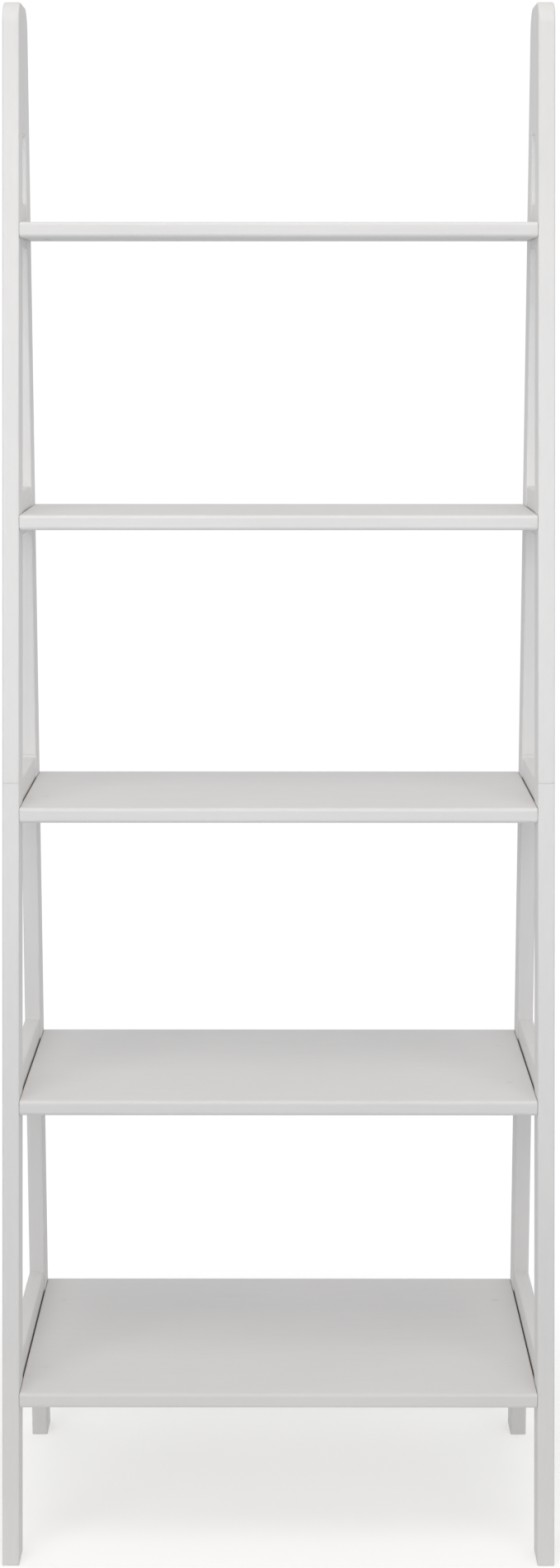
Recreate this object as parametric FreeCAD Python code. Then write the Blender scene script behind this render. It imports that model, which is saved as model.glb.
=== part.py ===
import FreeCAD, Part
import math
import os

# Free-standing ladder shelf: two leaning side frames carry five shelves that get shallower
# towards the top. Millimetres. +X is to the right as seen from the front, +Y goes to the back
# and +Z is up. The origin is on the floor, midway between the feet both ways.

# ---- whole object ----
HEIGHT = 1829.0
WIDTH = 653.0
DEPTH = 457.0
FRONT_SETBACK = 282.0         # the front leg's front face leans back this far over the full height
REAR_SETBACK = 66.0           # the rear leg's rear face leans forward this far

# ---- legs, each in an upper and a lower half ----
LEG_THICKNESS = 20.0          # side to side
LEG_WIDTH = 48.0              # front to back, square to the leg
LEG_EDGE_RADIUS = 2.0
LEG_JOINT_HEIGHT = 914.5
LEG_JOINT_EDGE_RADIUS = 0.6
TOP_CORNER_RADIUS = 30.0

# ---- filler block between the legs at the top ----
BLOCK_HEIGHT = 153.0
BLOCK_EDGE_RADIUS = 2.0

# ---- shelves ----
SHELF_COUNT = 5
TOP_SHELF_HEIGHT = 1570.4     # height of the highest shelf's top face
SHELF_SPACING = 342.2
SHELF_THICKNESS = 18.0
SHELF_FRONT_RADIUS = 4.5
SHELF_REAR_RADIUS = 3.0
SHELF_END_RADIUS = 1.5

# ---- side rails, one under and beside each shelf end ----
RAIL_THICKNESS = 18.5
RAIL_HEIGHT = 54.0
RAIL_ABOVE_SHELF = 25.0       # the rail stands this far above the shelf's top face
RAIL_EDGE_RADIUS = 2.5

# ---- shelf bolts and the barrel nuts that they screw into ----
BOLT_RADIUS = 3.0
BOLT_LENGTH = 48.0            # under the head
BOLT_HEAD_RADIUS = 6.0
BOLT_HEAD_HEIGHT = 3.4
BOLT_SOCKET_ACROSS_FLATS = 4.0
BOLT_SOCKET_DEPTH = 2.4
BOLT_HOLE_RADIUS = 3.5
COUNTERBORE_RADIUS = 6.6
COUNTERBORE_DEPTH = 4.0
BOLT_FROM_RAIL_END = 40.0     # at most: a short rail has its bolts at the quarter points
NUT_RADIUS = 5.0
NUT_LENGTH = 12.0
NUT_HOLE_RADIUS = 5.2
NUT_THREAD_RADIUS = 3.1
NUT_INSET = 26.0              # from the shelf's end to the nut's axis
NUT_SLOT = 1.4

# ---- wooden dowels and steel pins ----
DOWEL_RADIUS = 4.0
DOWEL_HOLE_RADIUS = 4.1
DOWEL_REACH = 20.0            # into each piece
DOWEL_END_GAP = 0.5
DOWEL_EDGE_RADIUS = 0.8
RAIL_DOWEL_OFFSET = 18.0      # above and below the rail's middle
BLOCK_DOWEL_HEIGHTS = (1705.0, 1772.0)
PIN_RADIUS = 5.0
PIN_HOLE_RADIUS = 5.15
PIN_REACH = 30.0
PIN_INSET = 16.0              # from the leg's outer face to the pin's axis

# ---- values worked out from the above ----
FRONT_LEAN = math.atan2(FRONT_SETBACK, HEIGHT)
REAR_LEAN = math.atan2(REAR_SETBACK, HEIGHT)
FRONT_LEG_DEPTH = LEG_WIDTH / math.cos(FRONT_LEAN)
REAR_LEG_DEPTH = LEG_WIDTH / math.cos(REAR_LEAN)
OUTER_X = WIDTH / 2
INNER_X = OUTER_X - LEG_THICKNESS
LEG_MIDDLE_X = (OUTER_X + INNER_X) / 2
RAIL_INNER_X = OUTER_X - RAIL_THICKNESS
RAIL_MIDDLE_X = (OUTER_X + RAIL_INNER_X) / 2
SHELF_HEIGHTS = [TOP_SHELF_HEIGHT - SHELF_SPACING * level for level in range(SHELF_COUNT)]
TINY = 0.01

X_AXIS = FreeCAD.Vector(1, 0, 0)
Y_AXIS = FreeCAD.Vector(0, 1, 0)
Z_AXIS = FreeCAD.Vector(0, 0, 1)
ORIGIN = FreeCAD.Vector(0, 0, 0)


# ---- the side view: where each leg's faces are at a given height ----

def front_face_y(z):
    return -DEPTH / 2 + FRONT_SETBACK * z / HEIGHT


def front_leg_back_y(z):
    return front_face_y(z) + FRONT_LEG_DEPTH


def rear_face_y(z):
    return DEPTH / 2 - REAR_SETBACK * z / HEIGHT


def rear_leg_front_y(z):
    return rear_face_y(z) - REAR_LEG_DEPTH


# ---- shape helpers ----

def side_plate(outline, x_low, thickness):
    """A flat board whose outline is given in the side view as (y, z) points."""
    points = [FreeCAD.Vector(x_low, y, z) for y, z in outline]
    face = Part.Face(Part.makePolygon(points + points[:1]))
    return face.extrude(X_AXIS * thickness)


def strip(y_of_low_side, y_of_high_side, z_low, z_high):
    """The four corners of a strip between two leaning lines and two heights."""
    return [
        (y_of_low_side(z_low), z_low),
        (y_of_high_side(z_low), z_low),
        (y_of_high_side(z_high), z_high),
        (y_of_low_side(z_high), z_high),
    ]


def middle_of(edge):
    return edge.valueAt((edge.FirstParameter + edge.LastParameter) / 2)


def runs_along(edge, axis):
    """True for a straight edge parallel to the axis."""
    if not isinstance(edge.Curve, (Part.Line, Part.LineSegment)):
        return False
    direction = edge.tangentAt(edge.FirstParameter)
    return abs(abs(direction.dot(axis)) - 1) < TINY


def lies_at(edge, index, value):
    """True for an edge that stays in the plane where coordinate `index` has this value."""
    box = edge.BoundBox
    low = (box.XMin, box.YMin, box.ZMin)[index]
    high = (box.XMax, box.YMax, box.ZMax)[index]
    return abs(low - value) < TINY and abs(high - value) < TINY


def rod(start, direction, radius, length):
    return Part.makeCylinder(radius, length, start, direction)


def dowel(start, direction, radius, length):
    """A plain peg with softened ends."""
    peg = rod(start, direction, radius, length)
    rims = [edge for edge in peg.Edges if isinstance(edge.Curve, Part.Circle)]
    return peg.makeFillet(DOWEL_EDGE_RADIUS, rims)


def mirrored(shape):
    """The same piece on the other side."""
    return shape.mirror(ORIGIN, X_AXIS)


# ---- where the fasteners are, on the right-hand side ----

def rail_middle_z(shelf_z):
    return shelf_z + RAIL_ABOVE_SHELF - RAIL_HEIGHT / 2


def bolt_places(shelf_z):
    """The (y, z) places of the two bolts at one shelf end."""
    z = shelf_z - SHELF_THICKNESS / 2
    front = front_leg_back_y(z)
    back = rear_leg_front_y(z)
    inset = min(BOLT_FROM_RAIL_END, (back - front) / 4)
    return [(front + inset, z), (back - inset, z)]


def rail_dowel_heights(shelf_z):
    middle = rail_middle_z(shelf_z)
    return [middle - RAIL_DOWEL_OFFSET, middle + RAIL_DOWEL_OFFSET]


def rail_dowel_pegs(radius, end_gap):
    """Pegs across each joint of a rail with a leg; the same call makes pegs and their holes."""
    length = 2 * (DOWEL_REACH + end_gap)
    pegs = []
    for shelf_z in SHELF_HEIGHTS:
        for z in rail_dowel_heights(shelf_z):
            for face_y in (front_leg_back_y(z), rear_leg_front_y(z)):
                start = FreeCAD.Vector(RAIL_MIDDLE_X, face_y - length / 2, z)
                pegs.append((start, Y_AXIS, radius, length))
    return pegs


def block_dowel_pegs(radius, end_gap):
    """Pegs that run from the front leg through the block into the rear leg."""
    pegs = []
    for z in BLOCK_DOWEL_HEIGHTS:
        start_y = front_leg_back_y(z) - DOWEL_REACH - end_gap
        end_y = rear_leg_front_y(z) + DOWEL_REACH + end_gap
        start = FreeCAD.Vector(LEG_MIDDLE_X, start_y, z)
        pegs.append((start, Y_AXIS, radius, end_y - start_y))
    return pegs


def joint_pin_pegs(radius, end_gap):
    """Upright pins that locate an upper leg half on the lower one."""
    z = LEG_JOINT_HEIGHT
    length = 2 * (PIN_REACH + end_gap)
    places = (front_face_y(z) + PIN_INSET, rear_face_y(z) - PIN_INSET)
    return [(FreeCAD.Vector(LEG_MIDDLE_X, y, z - length / 2), Z_AXIS, radius, length) for y in places]


def drill(shape, pegs):
    """Cuts the holes that reach this piece."""
    box = shape.BoundBox
    near = [rod(*peg) for peg in pegs]
    near = [tool for tool in near if box.intersect(tool.BoundBox)]
    if near:
        shape = shape.cut(near)
    return shape.Solids[0]


def dowel_holes():
    holes = rail_dowel_pegs(DOWEL_HOLE_RADIUS, DOWEL_END_GAP)
    holes += block_dowel_pegs(DOWEL_HOLE_RADIUS, DOWEL_END_GAP)
    holes += joint_pin_pegs(PIN_HOLE_RADIUS, DOWEL_END_GAP)
    return holes


# ---- side frame pieces, on the right-hand side ----

def leg_half(outline, corner=None):
    """One leg half; `corner` is the (y, z) point of its rounded top corner."""
    leg = side_plate(outline, INNER_X, LEG_THICKNESS)
    if corner:
        crosswise = [edge for edge in leg.Edges if runs_along(edge, X_AXIS)]
        corner_point = FreeCAD.Vector(LEG_MIDDLE_X, corner[0], corner[1])
        at_corner = [edge for edge in crosswise if (middle_of(edge) - corner_point).Length < TINY]
        leg = leg.makeFillet(TOP_CORNER_RADIUS, at_corner)
    leg = leg.makeFillet(LEG_EDGE_RADIUS, leg_long_edges(leg))
    joint_rim = [edge for edge in leg.Edges if lies_at(edge, 2, LEG_JOINT_HEIGHT)]
    leg = leg.makeFillet(LEG_JOINT_EDGE_RADIUS, joint_rim)
    return drill(leg, dowel_holes())


def leg_long_edges(leg):
    """The edges of the two broad faces, without those at the floor and at the joint."""
    edges = []
    for edge in leg.Edges:
        on_broad_face = lies_at(edge, 0, INNER_X) or lies_at(edge, 0, OUTER_X)
        on_end = lies_at(edge, 2, 0) or lies_at(edge, 2, LEG_JOINT_HEIGHT)
        if on_broad_face and not on_end:
            edges.append(edge)
    return edges


def legs():
    front = (front_face_y, front_leg_back_y)
    rear = (rear_leg_front_y, rear_face_y)
    lower = (0, LEG_JOINT_HEIGHT)
    upper = (LEG_JOINT_HEIGHT, HEIGHT)
    return {
        "front_leg_lower": leg_half(strip(*front, *lower)),
        "front_leg_upper": leg_half(strip(*front, *upper), (front_face_y(HEIGHT), HEIGHT)),
        "rear_leg_lower": leg_half(strip(*rear, *lower)),
        "rear_leg_upper": leg_half(strip(*rear, *upper), (rear_face_y(HEIGHT), HEIGHT)),
    }


def top_block():
    outline = strip(front_leg_back_y, rear_leg_front_y, HEIGHT - BLOCK_HEIGHT, HEIGHT)
    block = side_plate(outline, INNER_X, LEG_THICKNESS)
    broad_face_edges = [e for e in block.Edges if lies_at(e, 0, INNER_X) or lies_at(e, 0, OUTER_X)]
    block = block.makeFillet(BLOCK_EDGE_RADIUS, broad_face_edges)
    return drill(block, dowel_holes())


def rail(shelf_z):
    top = shelf_z + RAIL_ABOVE_SHELF
    outline = strip(front_leg_back_y, rear_leg_front_y, top - RAIL_HEIGHT, top)
    board = side_plate(outline, RAIL_INNER_X, RAIL_THICKNESS)
    board = board.makeFillet(RAIL_EDGE_RADIUS, [e for e in board.Edges if runs_along(e, Y_AXIS)])
    for y, z in bolt_places(shelf_z):
        shank = rod(FreeCAD.Vector(RAIL_INNER_X, y, z), X_AXIS, BOLT_HOLE_RADIUS, RAIL_THICKNESS)
        seat_x = OUTER_X - COUNTERBORE_DEPTH
        seat = rod(FreeCAD.Vector(seat_x, y, z), X_AXIS, COUNTERBORE_RADIUS, COUNTERBORE_DEPTH)
        board = board.cut([shank, seat])
    return drill(board, dowel_holes())


# ---- shelves ----

def shelf(shelf_z):
    """A board with rounded front and rear edges, bored at both ends for its bolts and nuts."""
    bottom = shelf_z - SHELF_THICKNESS
    middle = shelf_z - SHELF_THICKNESS / 2
    front = front_face_y(middle)
    back = rear_face_y(middle)
    outline = [(front, bottom), (back, bottom), (back, shelf_z), (front, shelf_z)]
    board = side_plate(outline, -INNER_X, 2 * INNER_X)
    long_edges = [edge for edge in board.Edges if runs_along(edge, X_AXIS)]
    board = board.makeFillet(SHELF_FRONT_RADIUS, [e for e in long_edges if lies_at(e, 1, front)])
    long_edges = [edge for edge in board.Edges if runs_along(edge, X_AXIS)]
    board = board.makeFillet(SHELF_REAR_RADIUS, [e for e in long_edges if lies_at(e, 1, back)])
    rims = [e for e in board.Edges if lies_at(e, 0, INNER_X) or lies_at(e, 0, -INNER_X)]
    board = board.makeFillet(SHELF_END_RADIUS, rims)
    bores = []
    for y, z in bolt_places(shelf_z):
        for side in (-1, 1):
            end = FreeCAD.Vector(side * INNER_X, y, z)
            bores.append(rod(end, X_AXIS * -side, BOLT_HOLE_RADIUS, bolt_bore_depth()))
            foot = FreeCAD.Vector(side * (INNER_X - NUT_INSET), y, bottom)
            bores.append(rod(foot, Z_AXIS, NUT_HOLE_RADIUS, nut_bore_depth()))
    return board.cut(bores).Solids[0]


def bolt_bore_depth():
    under_head_x = OUTER_X - COUNTERBORE_DEPTH
    return BOLT_LENGTH - (under_head_x - INNER_X) + 2 * DOWEL_END_GAP


def nut_bore_depth():
    return SHELF_THICKNESS / 2 + NUT_LENGTH / 2 + DOWEL_END_GAP


# ---- fasteners, on the right-hand side ----

def shelf_bolt(y, z):
    """A flat-headed connector bolt with a hexagonal socket; it points towards the shelf."""
    under_head = FreeCAD.Vector(OUTER_X - COUNTERBORE_DEPTH, y, z)
    shank = rod(under_head, X_AXIS * -1, BOLT_RADIUS, BOLT_LENGTH)
    head = rod(under_head, X_AXIS, BOLT_HEAD_RADIUS, BOLT_HEAD_HEIGHT)
    corner_radius = BOLT_SOCKET_ACROSS_FLATS / 2 / math.cos(math.pi / 6)
    socket_x = under_head.x + BOLT_HEAD_HEIGHT - BOLT_SOCKET_DEPTH
    corners = []
    for step in range(6):
        angle = math.radians(60 * step)
        offset_y = corner_radius * math.cos(angle)
        offset_z = corner_radius * math.sin(angle)
        corners.append((y + offset_y, z + offset_z))
    socket = side_plate(corners, socket_x, BOLT_SOCKET_DEPTH + 1)
    return shank.fuse(head).removeSplitter().cut(socket).Solids[0]


def barrel_nut(y, z):
    """A cross-bored barrel, upright in the shelf, with a slot in its lower end to turn it."""
    x = INNER_X - NUT_INSET
    low = z - NUT_LENGTH / 2
    barrel = rod(FreeCAD.Vector(x, y, low), Z_AXIS, NUT_RADIUS, NUT_LENGTH)
    thread = rod(FreeCAD.Vector(x - NUT_RADIUS, y, z), X_AXIS, NUT_THREAD_RADIUS, 2 * NUT_RADIUS)
    corner = FreeCAD.Vector(x - NUT_RADIUS, y - NUT_SLOT / 2, low)
    slot = Part.makeBox(2 * NUT_RADIUS, NUT_SLOT, NUT_SLOT, corner)
    return barrel.cut([thread, slot]).Solids[0]


def all_bolt_places():
    return [place for shelf_z in SHELF_HEIGHTS for place in bolt_places(shelf_z)]


def fasteners():
    """Each kind of fastener as a list of separate solids for the right-hand side."""
    return {
        "shelf_bolts": [shelf_bolt(y, z) for y, z in all_bolt_places()],
        "barrel_nuts": [barrel_nut(y, z) for y, z in all_bolt_places()],
        "rail_dowels": [dowel(*peg) for peg in rail_dowel_pegs(DOWEL_RADIUS, 0)],
        "top_block_dowels": [dowel(*peg) for peg in block_dowel_pegs(DOWEL_RADIUS, 0)],
        "leg_joint_pins": [dowel(*peg) for peg in joint_pin_pegs(PIN_RADIUS, 0)],
    }


# ---- the whole object ----

def side_frame():
    pieces = legs()
    pieces["top_block"] = top_block()
    for number, shelf_z in enumerate(SHELF_HEIGHTS, start=1):
        pieces["rail_%d" % number] = rail(shelf_z)
    return pieces


def build():
    nodes = {}
    for name, shape in side_frame().items():
        nodes["right_" + name] = shape
        nodes["left_" + name] = mirrored(shape)
    for number, shelf_z in enumerate(SHELF_HEIGHTS, start=1):
        nodes["shelf_%d" % number] = shelf(shelf_z)
    for name, solids in fasteners().items():
        nodes[name] = Part.makeCompound(solids + [mirrored(solid) for solid in solids])
    return nodes


def main():
    os.makedirs("parts", exist_ok=True)
    for name, shape in build().items():
        shape.exportStep("parts/%s.step" % name)
        print(name, "valid" if shape.isValid() else "INVALID", len(shape.Solids), "solids")


main()
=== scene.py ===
import bpy
import math
from mathutils import Matrix, Vector


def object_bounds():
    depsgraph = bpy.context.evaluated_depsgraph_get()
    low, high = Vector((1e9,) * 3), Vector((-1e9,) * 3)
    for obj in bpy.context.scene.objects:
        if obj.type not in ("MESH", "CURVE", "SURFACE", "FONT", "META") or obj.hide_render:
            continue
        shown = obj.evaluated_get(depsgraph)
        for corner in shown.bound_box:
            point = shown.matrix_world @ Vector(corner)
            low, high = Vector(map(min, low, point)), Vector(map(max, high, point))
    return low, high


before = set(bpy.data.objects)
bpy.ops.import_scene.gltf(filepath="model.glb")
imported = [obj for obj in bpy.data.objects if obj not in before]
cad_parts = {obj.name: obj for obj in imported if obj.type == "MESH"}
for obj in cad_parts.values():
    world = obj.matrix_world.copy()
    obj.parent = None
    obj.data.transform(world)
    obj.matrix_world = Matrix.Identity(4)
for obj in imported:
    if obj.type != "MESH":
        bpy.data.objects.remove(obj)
CAD_LOW, CAD_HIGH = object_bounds()

# A white satin-painted ladder shelf. Metres, in the CAD frame: +X right as seen from the front,
# +Y to the back, +Z up, floor at Z = 0.

# ---- camera ----
CAMERA_DISTANCE = 3.198        # from the front of the front feet
CAMERA_HEIGHT = 1.4425
CAMERA_RIGHT = 0.0078
CAMERA_PITCH = 8.990           # degrees below level
CAMERA_YAW = 0.103             # degrees to the left
SENSOR = 36.0                  # millimetres, as is the lens
LENS = 65.68

# ---- studio floor ----
FLOOR_SIZE = 4.0
FLOOR_COLOUR = (0.905, 0.900, 0.890)
FLOOR_MOTTLE = 0.985           # how dark its darkest patches are
FLOOR_MOTTLE_SCALE = 3.0
FLOOR_ROUGHNESS = 0.9
FLOOR_GLOW = 0.07
FLOOR_GLOW_SEEN = 0.34         # overexposed, as white paper is under studio light
FLOOR_SOLID = 0.40             # metres from the middle, where the paper starts to fade into white
FLOOR_GONE = 1.05

# ---- light ----
COOL = (0.976, 0.998, 1.032)
WARM = (1.040, 1.0, 0.940)
BACKDROP = (1.02, 1.02, 1.02)  # what the camera sees behind the object: just past white
# the soft light that comes from all round: (strength, tint)
WORLD_EVEN = (0.390, COOL)
# what each side adds to it: (towards, strength, tint)
WORLD_SIDES = (
    ((0, 0, 1), 0.24, WARM),
    ((0, -1, 0), 0.065, COOL),
    ((0, 1, 0), 0.20, COOL),
    ((-1, 0, 0), 0.05, COOL),
    ((1, 0, 0), 0.04, COOL),
)
# name: (place, aimed at, width, height, spread in degrees, watts, tint)
SOFT_BOXES = {
    "left_middle": ((-1.35, -2.0, 1.5), (0, 0, 1.4), 1.0, 1.0, 95, 3.2, COOL),
    "right_middle": ((1.35, -2.0, 1.4), (0, 0, 1.15), 0.9, 0.9, 65, 1.25, COOL),
    "top_front": ((0, -1.45, 3.3), (0, 0, 0.9), 2.4, 1.4, 180, 15.8, WARM),
}

# ---- pieces of plated steel ----
METAL_NODES = ("shelf_bolts", "barrel_nuts", "leg_joint_pins")

# ---- colours (linear) ----
PAINT = (0.844, 0.828, 0.814)
PAINT_THIN = (0.700, 0.672, 0.620)     # where it is rubbed thin along an edge
# painted shade for the seams: a dark paint colour put in the gaps, where shade falls
PAINT_SEAM_SHADE = (0.340, 0.320, 0.290)     # down in the seams
BEECH_LIGHT = (0.560, 0.370, 0.205)
BEECH_DARK = (0.400, 0.235, 0.115)
ZINC = (0.560, 0.570, 0.590)
ZINC_DULL = (0.403, 0.410, 0.425)

# ---- textures ----
MILLIMETRE = 0.001
NOISE_LOW, NOISE_HIGH = 0.3, 0.7       # most of a noise's values lie between these
PIECE_SHIFT = (7.0, 11.0, 13.0)        # the furthest that one piece's textures are moved
ALONG_GRAIN = 0.045                    # how much slower the figure of the wood changes along the grain
# how the point is stretched before the noise: the dowels lie front to back
BEECH_ALONG = (1.0, 0.06, 1.0)
FLECKS_ALONG = (1.0, 0.25, 1.0)
SCRATCHES_ACROSS = (1.0, 1.0, 9.0)
# noise scales, where 200 gives features of about 5 mm
CLOUD_SCALE = 4.5
SCUFF_SCALE = 38.0
GRAIN_SCALE = 190.0
ROLLER_SCALE = 700.0
BEECH_SCALE = 240.0
FLECK_SCALE = 900.0
BLOOM_SCALE = 420.0
SCRATCH_SCALE = 700.0
# how far the paint's brightness strays
CLOUD_SHADE = 0.013
GRAIN_SHADE_DOWN, GRAIN_SHADE_UP = -0.016, 0.012
# depths of the relief
GRAIN_DEPTH = 0.08 * MILLIMETRE
ROLLER_DEPTH = 0.010 * MILLIMETRE
FIGURE_DEPTH = 0.08 * MILLIMETRE
SCRATCH_DEPTH = 0.02 * MILLIMETRE
# how far an edge's wear and the painted shade in a seam reach
WEAR_REACH = 4 * MILLIMETRE
SEAM_SHADE_REACH = 4 * MILLIMETRE
WEAR_AT_MOST = 0.55
OCCLUSION_SAMPLES = 8
PAINT_IOR = 1.47


# ---- node helpers ----

def new_material(name):
    material = bpy.data.materials.new(name)
    material.use_nodes = True
    tree = material.node_tree
    tree.nodes.clear()
    shader = tree.nodes.new("ShaderNodeBsdfPrincipled")
    output = tree.nodes.new("ShaderNodeOutputMaterial")
    tree.links.new(shader.outputs["BSDF"], output.inputs["Surface"])
    return material, tree, shader


def feed(tree, socket, value):
    """Links a node's output, or sets a plain value."""
    if isinstance(value, bpy.types.NodeSocket):
        tree.links.new(value, socket)
    else:
        socket.default_value = value


def scale_vector(tree, vector, amount):
    node = tree.nodes.new("ShaderNodeVectorMath")
    node.operation = "SCALE"
    node.inputs[0].default_value = vector
    feed(tree, node.inputs["Scale"], amount)
    return node.outputs["Vector"]


def combine_vectors(tree, operation, first, second):
    node = tree.nodes.new("ShaderNodeVectorMath")
    node.operation = operation
    feed(tree, node.inputs[0], first)
    feed(tree, node.inputs[1], second)
    return node.outputs["Vector"]


def object_point(tree, stretch=(1, 1, 1)):
    """The surface point in the CAD frame, shifted by a fixed amount for each piece, so that
    two pieces cut from different boards don't share their figure."""
    coordinates = tree.nodes.new("ShaderNodeTexCoord").outputs["Object"]
    piece_number = tree.nodes.new("ShaderNodeObjectInfo").outputs["Random"]
    shift = scale_vector(tree, PIECE_SHIFT, piece_number)
    moved = combine_vectors(tree, "ADD", coordinates, shift)
    return combine_vectors(tree, "MULTIPLY", moved, stretch)


def noise(tree, point, scale, detail=3.0, roughness=0.55, distortion=0.0):
    node = tree.nodes.new("ShaderNodeTexNoise")
    feed(tree, node.inputs["Vector"], point)
    node.inputs["Scale"].default_value = scale
    node.inputs["Detail"].default_value = detail
    node.inputs["Roughness"].default_value = roughness
    node.inputs["Distortion"].default_value = distortion
    return node.outputs["Fac"]


def remap(tree, value, low, high, to_low=0.0, to_high=1.0):
    """Takes the range low to high onto to_low to to_high, and keeps what is outside it at its ends."""
    node = tree.nodes.new("ShaderNodeMapRange")
    feed(tree, node.inputs["Value"], value)
    node.inputs["From Min"].default_value = low
    node.inputs["From Max"].default_value = high
    node.inputs["To Min"].default_value = to_low
    node.inputs["To Max"].default_value = to_high
    return node.outputs["Result"]


def from_noise(tree, value, to_low, to_high):
    """Takes a noise onto a range, which its values then nearly fill."""
    return remap(tree, value, NOISE_LOW, NOISE_HIGH, to_low, to_high)


def arithmetic(tree, operation, first, second):
    node = tree.nodes.new("ShaderNodeMath")
    node.operation = operation
    feed(tree, node.inputs[0], first)
    feed(tree, node.inputs[1], second)
    return node.outputs["Value"]


def blend_colour(tree, factor, first, second):
    node = tree.nodes.new("ShaderNodeMix")
    node.data_type = "RGBA"
    feed(tree, node.inputs["Factor"], factor)
    for socket, value in ((node.inputs["A"], first), (node.inputs["B"], second)):
        feed(tree, socket, value if isinstance(value, bpy.types.NodeSocket) else (*value, 1.0))
    return node.outputs["Result"]


def bump(tree, height, distance, strength=1.0, under=None):
    node = tree.nodes.new("ShaderNodeBump")
    node.inputs["Strength"].default_value = strength
    node.inputs["Distance"].default_value = distance
    feed(tree, node.inputs["Height"], height)
    if under is not None:
        feed(tree, node.inputs["Normal"], under)
    return node.outputs["Normal"]


def openness(tree, distance, inside):
    """How open a point is to what surrounds it or, when `inside` is set, to the solid under it."""
    node = tree.nodes.new("ShaderNodeAmbientOcclusion")
    node.samples = OCCLUSION_SAMPLES
    node.inside = inside
    node.inputs["Distance"].default_value = distance
    return node.outputs["AO"]


def edge_mask(tree, distance):
    """Near 1 on rounded edges and corners, 0 on flat faces."""
    return remap(tree, openness(tree, distance, True), 0.86, 0.52)


def seam_shade_mask(tree, distance):
    """Near 1 deep in a gap between two pieces, 0 in the open; it places the painted shade in the
    seams.
    """
    return remap(tree, openness(tree, distance, False), 0.45, 0.08)


# ---- materials ----

def paint_colour(tree, cloud, grain, scuff):
    """White, a little cloudy, thin along worn edges, and darkened with painted shade down in the
    seams.
    """
    shade = arithmetic(tree, "ADD", from_noise(tree, cloud, -CLOUD_SHADE, CLOUD_SHADE), 1.0)
    figure = remap(tree, grain, 0.25, 0.75, GRAIN_SHADE_DOWN, GRAIN_SHADE_UP)
    shade = arithmetic(tree, "ADD", shade, figure)
    patches = remap(tree, scuff, 0.44, 0.70, 0.0, WEAR_AT_MOST)
    worn = arithmetic(tree, "MULTIPLY", edge_mask(tree, WEAR_REACH), patches)
    colour = blend_colour(tree, worn, scale_vector(tree, PAINT, shade), PAINT_THIN)
    # painted shade: the paint is darkened deep in the gaps between pieces, where shade falls
    return blend_colour(tree, seam_shade_mask(tree, SEAM_SHADE_REACH), colour, PAINT_SEAM_SHADE)


def painted_wood(name, stretch):
    """Satin white paint over solid wood; `stretch` is small along the grain."""
    material, tree, shader = new_material(name)
    plain = object_point(tree)
    along = object_point(tree, stretch)
    cloud = noise(tree, plain, CLOUD_SCALE, detail=2.0)
    grain = noise(tree, along, GRAIN_SCALE, detail=3.0, roughness=0.6, distortion=0.4)
    roller = noise(tree, plain, ROLLER_SCALE, detail=1.0, roughness=0.5)
    scuff = noise(tree, plain, SCUFF_SCALE, detail=4.0, roughness=0.65)
    feed(tree, shader.inputs["Base Color"], paint_colour(tree, cloud, grain, scuff))

    sheen = from_noise(tree, cloud, 0.38, 0.46)
    rubbed = from_noise(tree, scuff, -0.03, 0.05)
    feed(tree, shader.inputs["Roughness"], arithmetic(tree, "ADD", sheen, rubbed))
    relief = bump(tree, grain, GRAIN_DEPTH, strength=0.6)
    relief = bump(tree, roller, ROLLER_DEPTH, strength=0.45, under=relief)
    feed(tree, shader.inputs["Normal"], relief)
    shader.inputs["IOR"].default_value = PAINT_IOR
    return material


def bare_beech():
    """The dowels: straight-grained beech with its short dark flecks."""
    material, tree, shader = new_material("bare_beech")
    along = object_point(tree, BEECH_ALONG)
    figure = noise(tree, along, BEECH_SCALE, detail=5.0, roughness=0.6, distortion=0.3)
    flecks = noise(tree, object_point(tree, FLECKS_ALONG), FLECK_SCALE, detail=2.0, roughness=0.5)
    fleck_spots = remap(tree, flecks, 0.62, 0.72, 0.0, 0.8)
    dark = arithmetic(tree, "MAXIMUM", remap(tree, figure, 0.4, 0.75), fleck_spots)
    feed(tree, shader.inputs["Base Color"], blend_colour(tree, dark, BEECH_LIGHT, BEECH_DARK))
    feed(tree, shader.inputs["Roughness"], from_noise(tree, figure, 0.55, 0.72))
    feed(tree, shader.inputs["Normal"], bump(tree, figure, FIGURE_DEPTH, strength=0.6))
    return material


def zinc_plate():
    """Bright zinc-plated steel with a fine cloudy bloom."""
    material, tree, shader = new_material("zinc_plate")
    across = object_point(tree, SCRATCHES_ACROSS)
    bloom = noise(tree, object_point(tree), BLOOM_SCALE, detail=4.0, roughness=0.6)
    scratches = noise(tree, across, SCRATCH_SCALE, detail=3.0, roughness=0.6)
    dulled = remap(tree, bloom, 0.35, 0.7)
    feed(tree, shader.inputs["Base Color"], blend_colour(tree, dulled, ZINC, ZINC_DULL))
    feed(tree, shader.inputs["Roughness"], from_noise(tree, bloom, 0.28, 0.46))
    feed(tree, shader.inputs["Normal"], bump(tree, scratches, SCRATCH_DEPTH, strength=0.5))
    shader.inputs["Metallic"].default_value = 1.0
    return material


def dress_nodes():
    """Gives each CAD node its material, with the grain along the piece."""
    upright = painted_wood("paint_on_uprights", (1.0, 1.0, ALONG_GRAIN))
    crosswise = painted_wood("paint_on_shelves", (ALONG_GRAIN, 1.0, 1.0))
    lengthwise = painted_wood("paint_on_rails", (1.0, ALONG_GRAIN, 1.0))
    beech = bare_beech()
    zinc = zinc_plate()
    for node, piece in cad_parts.items():
        if "dowels" in node:
            material = beech
        elif node in METAL_NODES:
            material = zinc
        elif node.startswith("shelf_"):
            material = crosswise
        elif "_rail_" in node:
            material = lengthwise
        else:
            material = upright
        piece.data.materials.clear()
        piece.data.materials.append(material)


# ---- floor, light and camera ----

def scaled_colour(colour, share):
    return tuple(share * channel for channel in colour)


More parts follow.
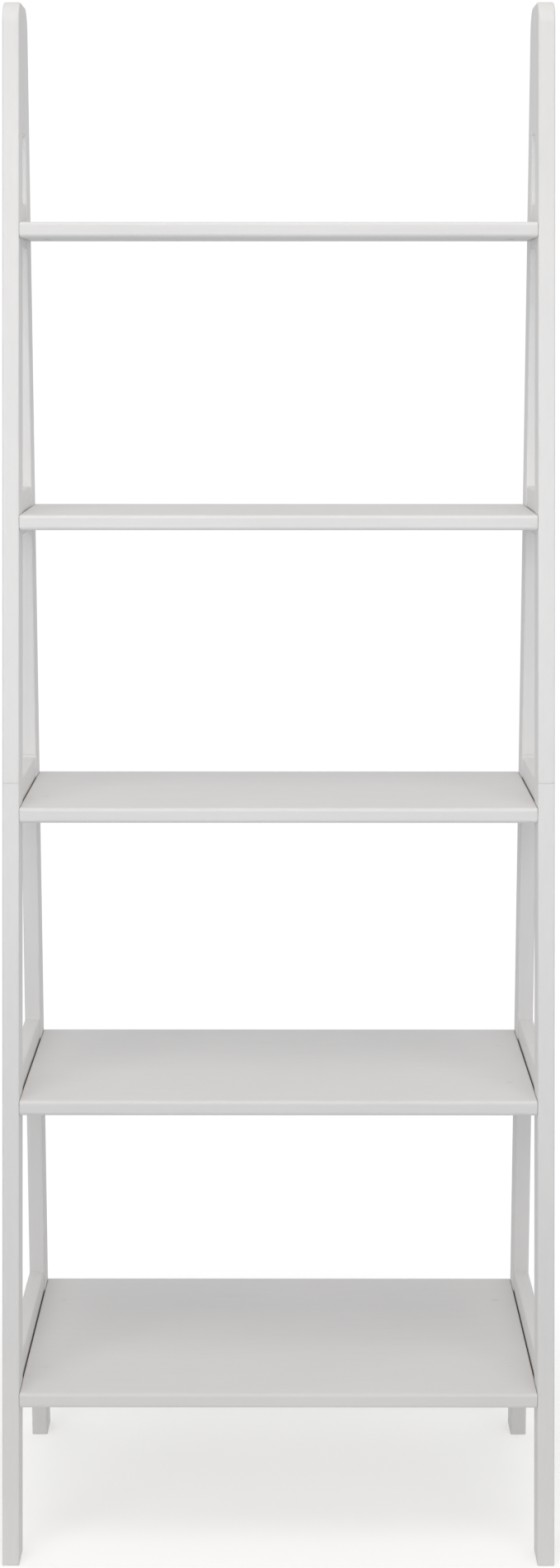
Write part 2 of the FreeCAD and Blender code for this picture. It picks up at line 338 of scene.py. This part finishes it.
def floor_paper():
    """Pale paper that fades into the white around it."""
    material, tree, shader = new_material("studio_floor_paper")
    place = tree.nodes.new("ShaderNodeTexCoord").outputs["Object"]
    mottle = noise(tree, place, FLOOR_MOTTLE_SCALE, 3.0)
    darker = scaled_colour(FLOOR_COLOUR, FLOOR_MOTTLE)
    feed(tree, shader.inputs["Base Color"], blend_colour(tree, mottle, FLOOR_COLOUR, darker))
    shader.inputs["Roughness"].default_value = FLOOR_ROUGHNESS
    shader.inputs["Emission Color"].default_value = (*FLOOR_COLOUR, 1.0)
    seen = tree.nodes.new("ShaderNodeLightPath").outputs["Is Camera Ray"]
    glow = remap(tree, seen, 0.0, 1.0, FLOOR_GLOW, FLOOR_GLOW_SEEN)
    feed(tree, shader.inputs["Emission Strength"], glow)

    apart = tree.nodes.new("ShaderNodeVectorMath")
    apart.operation = "LENGTH"
    feed(tree, apart.inputs[0], place)
    fade = tree.nodes.new("ShaderNodeMapRange")
    fade.interpolation_type = "SMOOTHERSTEP"
    feed(tree, fade.inputs["Value"], apart.outputs["Value"])
    fade.inputs["From Min"].default_value = FLOOR_SOLID
    fade.inputs["From Max"].default_value = FLOOR_GONE
    clear = tree.nodes.new("ShaderNodeBsdfTransparent")
    mixed = tree.nodes.new("ShaderNodeMixShader")
    feed(tree, mixed.inputs["Fac"], fade.outputs["Result"])
    tree.links.new(shader.outputs["BSDF"], mixed.inputs[1])
    tree.links.new(clear.outputs["BSDF"], mixed.inputs[2])
    tree.links.new(mixed.outputs["Shader"], tree.nodes["Material Output"].inputs["Surface"])
    return material


def studio_floor():
    mesh = bpy.data.meshes.new("studio_floor")
    half = FLOOR_SIZE / 2
    corners = [(-half, -half, 0), (half, -half, 0), (half, half, 0), (-half, half, 0)]
    mesh.from_pydata(corners, [], [(0, 1, 2, 3)])
    mesh.materials.append(floor_paper())
    floor = bpy.data.objects.new("studio_floor", mesh)
    bpy.context.scene.collection.objects.link(floor)


def soft_box(name, place, aim, width, height, spread, power, tint):
    light = bpy.data.lights.new(name, "AREA")
    light.color = tint
    light.shape = "RECTANGLE"
    light.size = width
    light.size_y = height
    light.spread = math.radians(spread)
    light.energy = power
    lamp = bpy.data.objects.new(name, light)
    lamp.location = place
    lamp.rotation_euler = (Vector(aim) - Vector(place)).to_track_quat("-Z", "Y").to_euler()
    bpy.context.scene.collection.objects.link(lamp)


def studio_world():
    """White behind the object, and soft light on it that is stronger from some sides."""
    world = bpy.data.worlds.new("studio")
    world.use_nodes = True
    tree = world.node_tree
    direction = tree.nodes.new("ShaderNodeTexCoord").outputs["Generated"]
    even_strength, even_tint = WORLD_EVEN
    light = scaled_colour(even_tint, even_strength)
    for axis, strength, tint in WORLD_SIDES:
        facing = tree.nodes.new("ShaderNodeVectorMath")
        facing.operation = "DOT_PRODUCT"
        feed(tree, facing.inputs[0], direction)
        facing.inputs[1].default_value = axis
        lobe = arithmetic(tree, "MAXIMUM", facing.outputs["Value"], 0.0)
        side = scale_vector(tree, scaled_colour(tint, strength), lobe)
        light = combine_vectors(tree, "ADD", light, side)
    seen = tree.nodes.new("ShaderNodeLightPath").outputs["Is Camera Ray"]
    colour = blend_colour(tree, seen, light, BACKDROP)
    feed(tree, tree.nodes["Background"].inputs["Color"], colour)
    bpy.context.scene.world = world


def place_camera():
    """A little below the top shelf, looking down a little."""
    lens = bpy.data.cameras.new("camera")
    lens.sensor_width = SENSOR
    lens.lens = LENS
    camera = bpy.data.objects.new("camera", lens)
    turn = Matrix.Rotation(math.radians(CAMERA_YAW), 4, "Z")
    tilt = Matrix.Rotation(math.radians(90 - CAMERA_PITCH), 4, "X")
    place = Matrix.Translation((CAMERA_RIGHT, CAD_LOW.y - CAMERA_DISTANCE, CAMERA_HEIGHT))
    camera.matrix_world = place @ turn @ tilt
    bpy.context.scene.collection.objects.link(camera)
    bpy.context.scene.camera = camera


dress_nodes()
studio_floor()
studio_world()
for box_name, settings in SOFT_BOXES.items():
    soft_box(box_name, *settings)
place_camera()
bpy.context.scene.view_settings.view_transform = "Standard"
